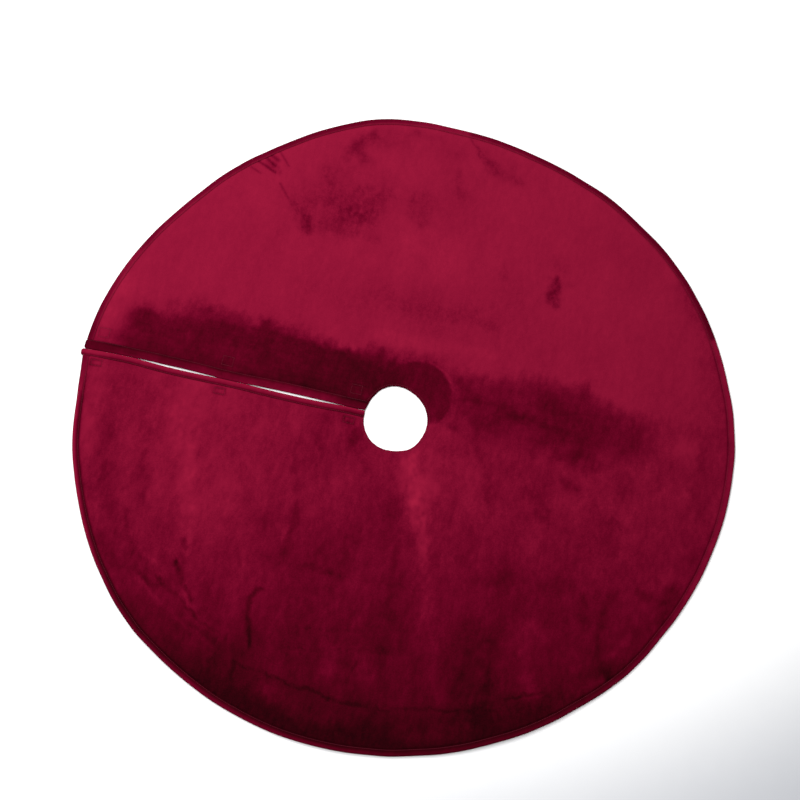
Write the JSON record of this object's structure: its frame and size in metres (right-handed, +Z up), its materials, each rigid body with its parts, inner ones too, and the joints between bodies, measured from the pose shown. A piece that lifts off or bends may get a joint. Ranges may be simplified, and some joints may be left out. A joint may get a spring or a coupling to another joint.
{
  "type": "tree skirt",
  "caption": "Round crimson velvet tree skirt with a trunk hole, a bound radial slit and hook-and-loop closures; it folds into quarters.",
  "frame": {"origin": "centre of the trunk hole, on the floor plane that the skirt rests on", "axes": "+Z up, out of the velvet face and along the trunk; the slit runs from the hole out along -X; +Y is the side behind the slit, where the opening flap is"},
  "size_m": [1.224, 1.2198, 0.005],
  "materials": {
    "velvet": "matte",
    "binding": "matte",
    "lining": "matte",
    "thread": "satin",
    "hook_tape": "matte",
    "loop_tape": "matte"
  },
  "bodies": {
    "front_right": {"velvet_front_right": "velvet", "lining_front_right": "lining", "rim_binding_front_right": "binding", "rim_stitching_front_right": "thread", "hole_stitching_front_right": "thread"},
    "back_right": {"velvet_back_right": "velvet", "lining_back_right": "lining", "rim_binding_back_right": "binding", "rim_stitching_back_right": "thread", "hole_stitching_back_right": "thread"},
    "back_left": {"velvet_back_left": "velvet", "lining_back_left": "lining", "rim_binding_back_left": "binding", "rim_stitching_back_left": "thread", "hole_stitching_back_left": "thread"},
    "opening_flap": {"velvet_opening_flap": "velvet", "lining_opening_flap": "lining", "rim_binding_opening_flap": "binding", "rim_stitching_opening_flap": "thread", "hole_stitching_opening_flap": "thread", "slit_binding_back": "binding", "slit_stitching_back": "thread", "loop_pad_inner": "loop_tape", "loop_pad_middle": "loop_tape", "loop_pad_outer": "loop_tape", "loop_box_stitching_inner": "thread", "loop_box_stitching_middle": "thread", "loop_box_stitching_outer": "thread"},
    "front_left": {"velvet_front_left": "velvet", "lining_front_left": "lining", "rim_binding_front_left": "binding", "rim_stitching_front_left": "thread", "hole_stitching_front_left": "thread", "slit_binding_front": "binding", "slit_stitching_front": "thread", "hook_tab_inner": "hook_tape", "hook_tab_middle": "hook_tape", "hook_tab_outer": "hook_tape", "hook_box_stitching_inner": "thread", "hook_box_stitching_middle": "thread", "hook_box_stitching_outer": "thread"}
  },
  "joints": [
    {"name": "back_half_fold", "type": "hinge", "parent": "front_right", "child": "back_right", "pos_m": [0.3, 0.004, 0.0205], "axis": [1, 0, 0], "range_deg": [0, 179.9]},
    {"name": "left_half_fold", "type": "hinge", "parent": "front_right", "child": "front_left", "pos_m": [0, -0.3, 0.0095], "axis": [0, 1, 0], "range_deg": [0, 179.9]},
    {"name": "back_left_fold", "type": "hinge", "parent": "back_right", "child": "back_left", "pos_m": [0, 0.3, 0.0095], "axis": [0, 1, 0], "range_deg": [0, 179.9]},
    {"name": "opening_flap_fold", "type": "hinge", "parent": "back_left", "child": "opening_flap", "pos_m": [-0.2, 0.204, 0.006], "axis": [-0.7071, 0.7071, 0], "range_deg": [0, 179.9]}
  ],
  "couplings": [
    {"joint": "back_left_fold", "follows": "left_half_fold", "ratio": 1}
  ]
}
